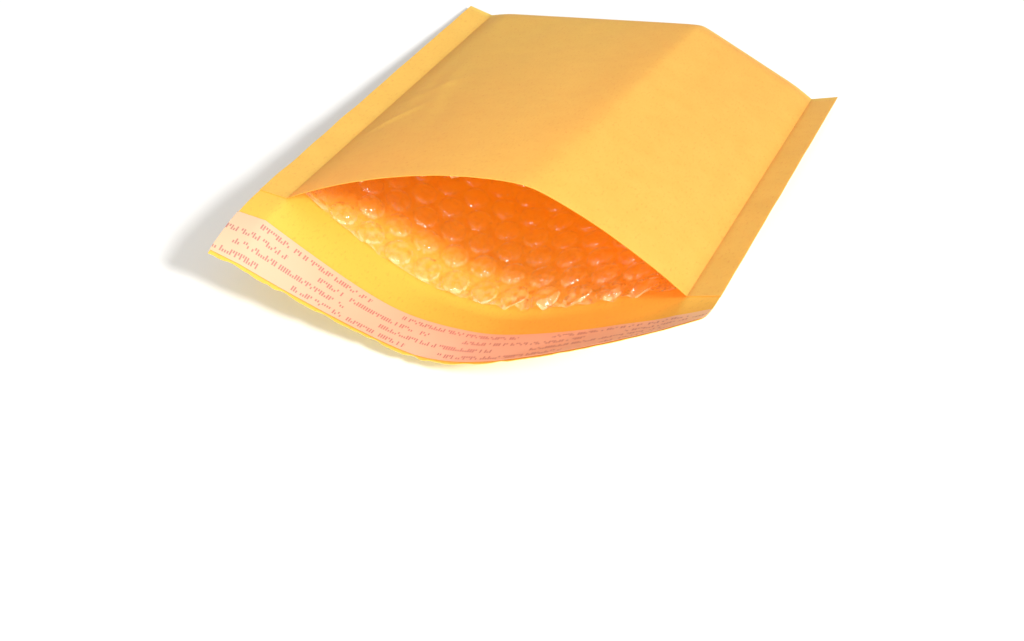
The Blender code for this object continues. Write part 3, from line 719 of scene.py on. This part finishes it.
def filmNet(rings, centres):
    # Delaunay triangles over the flat film, with the seal of every bubble kept as edges and no border point
    # inside a bubble; a triangle is sealed where its middle is closer to a centre than the seal's chords
    side, start, end = halfWidth - lining["crease"], lining["fold"], length - lining["setback"]
    p = np.linspace(-side, side, int(2 * side / lining["borderStep"]))
    s = np.linspace(start, end, int((end - start) / lining["borderStep"]))[1:-1]
    radius = lining["diameter"] / 2
    past = np.maximum(radius ** 2 - (centres[:, 1] - end) ** 2, 0) ** 0.5 + lining["borderGap"]
    past = np.where(past > lining["borderGap"], past, 0)
    free = (np.abs(p[:, None] - centres[:, 0]) > past).all(1)
    border = [np.stack([p, 0 * p + start], -1), np.stack([p[free], 0 * p[free] + end], -1),
              np.stack([0 * s - side, s], -1), np.stack([0 * s + side, s], -1)]
    points = np.concatenate([rings.reshape(-1, 2)] + border)
    first = np.arange(rings.shape[0] * rings.shape[1]).reshape(rings.shape[:2])
    seals = np.stack([first, np.roll(first, -1, 1)], -1).reshape(-1, 2)
    net = delaunay_2d_cdt([Vector(point) for point in points], seals.tolist(), [], 0, lining["weld"])
    places = np.array([tuple(vertex) for vertex in net[0]])
    triangles = np.array(net[2])
    middles = places[triangles].mean(1)
    gaps = np.hypot(middles[:, None, 0] - centres[:, 0], middles[:, None, 1] - centres[:, 1]).min(1)
    return places, triangles, gaps < lining["sealedWithin"] * radius


def outline(triangles):
    # the edges that only one triangle has, in that triangle's direction
    edges = np.concatenate([triangles[:, [0, 1]], triangles[:, [1, 2]], triangles[:, [2, 0]]])
    _, back, counts = np.unique(np.sort(edges, 1), axis=0, return_inverse=True, return_counts=True)
    return edges[counts[back.ravel()] == 1]


def buildLining():
    # Each side is a closed laminate: a flat backing against the paper, and a formed film whose bubbles are
    # rings of points round a centre, joined to the flat film at their seal.
    centres = bubbleCentres()
    count, segments = len(centres), lining["segments"]
    end = length - lining["setback"]
    rng = np.random.default_rng(5)
    angle = (np.arange(segments) + 0.5) * 2 * np.pi / segments
    ring = np.stack([np.cos(angle), np.sin(angle)], -1) * lining["diameter"] / 2
    domes = centres[:, None, None, :] + profile[None, :, None, :1] * ring[None, None]
    domes[..., 1] = np.minimum(domes[..., 1], end)
    places, triangles, sealed = filmNet(domes[:, 0], centres)
    print("film net:", len(places), "points,", count, "bubbles a side")
    flatCount = len(places)
    ringHeights = np.broadcast_to(profile[1:, 1][None, :, None], (count, len(profile) - 1, segments))
    size = 1 - lining["unevenness"] * rng.random(count) ** 2
    cut = centres[:, 1] > end - lining["diameter"] / 2
    size = np.where(cut, size * lining["cutHeight"], size) * lining["height"]
    size = size * blend(np.exp(-(end - centres[:, 1]) / lining["pressedRun"]), lining["pressed"], 1)
    depthFlat = lining["clearance"] + lining["film"]

    # vertex numbers: flat backing, flat formed film, then the rings above the seal, then the crowns
    seal = np.arange(count * segments).reshape(count, 1, segments) + flatCount
    above = np.arange(count * (len(profile) - 1) * segments).reshape(count, -1, segments) + 2 * flatCount
    rings = np.concatenate([seal, above], 1)
    crowns = np.arange(count)[:, None] + 2 * flatCount + above.size
    after = np.roll(rings, -1, 2)
    walls = np.stack([after[:, :-1], rings[:, :-1], rings[:, 1:], after[:, 1:]], -1).reshape(-1, 4)
    fans = np.stack(np.broadcast_arrays(after[:, -1], rings[:, -1], crowns), -1).reshape(-1, 3)
    rim = outline(triangles)
    rim = np.stack([rim[:, 1], rim[:, 0], rim[:, 0] + flatCount, rim[:, 1] + flatCount], -1)
    groups = [triangles, (triangles[~sealed] + flatCount)[:, ::-1], rim, walls, fans]

    block = 2 * flatCount + above.size + count
    points, faces, start = [], [], 0
    for side in (1, -1):
        points.append(filmPoints(places, side, np.full(flatCount, lining["clearance"])))
        points.append(filmPoints(places, side, np.full(flatCount, depthFlat)))
        raised = filmPoints(domes[:, 1:], side, depthFlat + ringHeights * size[:, None, None])
        points.append(raised.reshape(-1, 3))
        points.append(filmPoints(centres, side, depthFlat + size))
        faces += [group[:, ::-side] + start for group in groups]
        start += block
    flat = np.concatenate([places, places, domes[:, 1:].reshape(-1, 2), centres])
    crumple = np.exp(-(end - flat[:, 1]) / lining["fade"])
    ringMilk = np.broadcast_to(profile[1:, 2][None, :, None], ringHeights.shape).ravel()
    haze = np.full(flatCount, lining["haze"])
    milk = np.concatenate([np.zeros(flatCount), haze, ringMilk, np.zeros(count)])
    milk[flatCount:flatCount + count * segments] = profile[0, 2]
    # the cut edge drawn milky: painted glints along it
    milk[flatCount:2 * flatCount][places[:, 1] > end - lining["glintBand"]] = lining["paintedEdgeGlints"]
    # the milk fades away from the cut edge: painted light near the mouth, painted shade deeper in
    milk = milk * (lining["leastMilk"] + crumple)
    lift = np.array([0, mouthLine, mailer["paper"]])
    return putMesh("bubbleFilmPouch", np.concatenate(points) + lift, faces, np.tile(flat, (2, 1)),
                   {"milk": np.tile(milk, 2), "crumple": np.tile(crumple, 2)}, bubbleFilm(lining["look"]), 50)


# The closure on the flap

closure = {
    "bare": 15.3, "linerWidth": 19.5, "linerThickness": 0.15, "adhesiveInset": 2.0, "adhesiveThickness": 0.2,
    "gap": 0.06, "acrossStep": 1.5, "alongStep": 1.3, "flangeSteps": 4,
    "linerLook": {
        # left, right and far right paint orange bounce light and shade along the liner
        "left": "E2BA96", "right": "F3B494", "farRightPaintedLight": "FFCAA4", "paintedLightStops": (-90, 10, 70),
        "roughness": 0.42, "ior": 1.46, "inkColour": "A84C58", "ink": 0.7,
        "rowPitch": 4.7, "rowShift": 27.0, "groupPitch": 60.0, "groupShare": 0.78,
        "markPitch": 0.95, "markShare": 0.6, "markHeight": 2.2, "gapChance": 0.15, "halfChance": 0.78,
    },
    "adhesiveLook": {
        "light": "F4E6BE", "dark": "E2C88C", "ribPitch": 1.5, "ribHeight": 0.1, "ribStrength": 0.4,
        "unevenness": 1.5, "roughness": 0.25, "ior": 1.5,
    },
}


def band(name, columns, start, end, height, thickness, material):
    # a strip of the flap from one distance past the mouth to another: the flap's points moved up by a height,
    # and again by the strip's thickness
    u, outside = columns
    mouth, slope = sheetAtMouth(u, outside)
    steps = max(int(round((end - start) / closure["alongStep"])), 2)
    t = np.linspace(start, end, steps + 1) / mailer["flapLength"]
    under = flapPoints(mouth, slope, t, 0 * u)
    under[..., 1] += mouthLine
    under[..., 2] += mailer["paper"] + height
    over = under + np.array([0, 0, thickness])
    points, faces = closedSheet(over[::-1], under[::-1])
    flatX = u * halfWidth + np.sign(u) * outside
    fromEnd = (end - t[::-1] * mailer["flapLength"])[:, None]
    flat = np.stack(np.broadcast_arrays(flatX, fromEnd), -1).reshape(-1, 2)
    return putMesh(name, points, faces, np.tile(flat, (2, 1)), {}, material, 40)


def buildClosure():
    # two bands on top of each other, a small gap apart; the liner runs past the adhesive on all sides
    u, outside = sheetColumns(closure)
    end = closure["bare"] + closure["linerWidth"]
    adhesiveHeight = closure["gap"]
    linerHeight = adhesiveHeight + closure["adhesiveThickness"] + closure["gap"]
    inside = outside == 0
    adhesive = band("hotMeltStrip", (u[inside], outside[inside]), closure["bare"] + closure["adhesiveInset"],
                    end - closure["adhesiveInset"], adhesiveHeight, closure["adhesiveThickness"],
                    hotMelt(closure["adhesiveLook"]))
    liner = band("linerStrip", (u, outside), closure["bare"], end, linerHeight, closure["linerThickness"],
                 releaseLiner(closure["linerLook"]))
    return adhesive, liner


# Studio

studio = {
    "floor": "F4F3F1", "floorRoughness": 0.9, "floorHalf": 4.0, "floorNear": 0.3, "floorFar": 0.9,
    "worldLevel": 0.6,
    "keyPlace": (1.05, -0.5, 0.95), "keySize": 0.3, "keyPower": 22.6,
    "fillPlace": (0.1, -1.0, 0.42), "fillSize": 0.3, "fillPower": 4.4,
    "lens": 49.07, "pitch": 0.716, "yaw": 0.328, "roll": 0.089, "place": (135.4, -438.5, 328.5),
}


def seenAsBackdrop(tree):
    # the sum of three kinds of ray, at most 1: 1 for what the camera, gloss and light through the film see
    path = addNode(tree, "ShaderNodeLightPath")
    seen = addNode(tree, "ShaderNodeMath", {"operation": "ADD", "use_clamp": True},
                   {0: path.outputs["Is Camera Ray"], 1: path.outputs["Is Glossy Ray"]})
    shown = addNode(tree, "ShaderNodeMath", {"operation": "ADD", "use_clamp": True},
                    {0: seen, 1: path.outputs["Is Transmission Ray"]})
    return shown


def addFloor():
    # a painted floor that runs into the white backdrop away from the mailer and its shadow, by a smooth step
    # of the distance from the middle
    mesh = bpy.data.meshes.new("floor")
    half = studio["floorHalf"]
    corners = [(-half, -half, 0), (half, -half, 0), (half, half, 0), (-half, half, 0)]
    mesh.from_pydata(corners, [], [(0, 1, 2, 3)])
    floor = bpy.data.objects.new("floor", mesh)
    bpy.context.scene.collection.objects.link(floor)
    material, tree = newMaterial("paintedFloor")
    shader = addNode(tree, "ShaderNodeBsdfPrincipled",
                     inputs={"Base Color": linear(studio["floor"]), "Roughness": studio["floorRoughness"]})
    place = addNode(tree, "ShaderNodeTexCoord")
    away = addNode(tree, "ShaderNodeVectorMath", {"operation": "LENGTH"}, {0: place.outputs["Object"]})
    far = addNode(tree, "ShaderNodeMapRange", {"interpolation_type": "SMOOTHSTEP"},
                  {"From Min": studio["floorNear"], "From Max": studio["floorFar"],
                   "Value": away.outputs["Value"]})
    farSeen = addNode(tree, "ShaderNodeMath", {"operation": "MULTIPLY"}, {0: far, 1: seenAsBackdrop(tree)})
    white = addNode(tree, "ShaderNodeEmission", inputs={"Color": linear("FFFFFF"), "Strength": 1.0})
    mixed = addNode(tree, "ShaderNodeMixShader", inputs={"Fac": farSeen, 1: shader, 2: white})
    addNode(tree, "ShaderNodeOutputMaterial", inputs={"Surface": mixed})
    mesh.materials.append(material)


def addWorld():
    # even light from all round, and plain white for what is seen as backdrop
    world = bpy.data.worlds.new("studio")
    bpy.context.scene.world = world
    world.use_nodes = True
    tree = world.node_tree
    tree.nodes.clear()
    soft = addNode(tree, "ShaderNodeBackground",
                   inputs={"Color": linear("FFFFFF"), "Strength": studio["worldLevel"]})
    white = addNode(tree, "ShaderNodeBackground", inputs={"Color": linear("FFFFFF"), "Strength": 1.0})
    mixed = addNode(tree, "ShaderNodeMixShader", inputs={"Fac": seenAsBackdrop(tree), 1: soft, 2: white})
    addNode(tree, "ShaderNodeOutputWorld", inputs={"Surface": mixed})


def addLamp(name):
    # a round soft lamp that faces the mailer: its -Z axis runs from its place to the origin
    lamp = bpy.data.lights.new(name, "AREA")
    lamp.shape = "DISK"
    lamp.size = studio[name + "Size"]
    lamp.energy = studio[name + "Power"]
    holder = bpy.data.objects.new(name, lamp)
    holder.location = studio[name + "Place"]
    holder.rotation_euler = (-Vector(studio[name + "Place"])).to_track_quat("-Z", "Y").to_euler()
    bpy.context.scene.collection.objects.link(holder)


def addCamera():
    # forward from yaw and pitch, then the frame is rolled about it
    yaw, pitch, roll = studio["yaw"], studio["pitch"], studio["roll"]
    forward = Vector((-math.sin(yaw) * math.cos(pitch), math.cos(yaw) * math.cos(pitch), -math.sin(pitch)))
    right = Vector((math.cos(yaw), math.sin(yaw), 0))
    up = right.cross(forward)
    turnedRight = right * math.cos(roll) + up * math.sin(roll)
    turnedUp = up * math.cos(roll) - right * math.sin(roll)
    camera = bpy.data.cameras.new("camera")
    camera.sensor_fit = "HORIZONTAL"
    camera.sensor_width = 36
    camera.lens = studio["lens"]
    camera.clip_start = 0.01
    holder = bpy.data.objects.new("camera", camera)
    matrix = Matrix((turnedRight, turnedUp, -forward)).transposed().to_4x4()
    matrix.translation = Vector(studio["place"]) * mm
    holder.matrix_world = matrix
    bpy.context.scene.collection.objects.link(holder)
    bpy.context.scene.camera = holder


paper = buildPaper()
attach(paper, "root")
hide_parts("kraft_envelope")
print("built the paper")

film = buildLining()
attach(film, "root")
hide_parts("bubble_lining")
print("built the lining")

adhesive, liner = buildClosure()
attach(adhesive, "root")
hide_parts("adhesive_strip")
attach(liner, "root")
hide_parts("release_liner")
print("built the closure")

addFloor()
addWorld()
addLamp("key")
addLamp("fill")
addCamera()
bpy.context.scene.view_settings.view_transform = "Standard"
bpy.context.scene.cycles.transparent_max_bounces = 24   # a ray through the pocket passes many layers of film
bpy.context.scene.cycles.diffuse_bounces = 12           # the glow inside comes from paper lit by paper
print("set the studio")
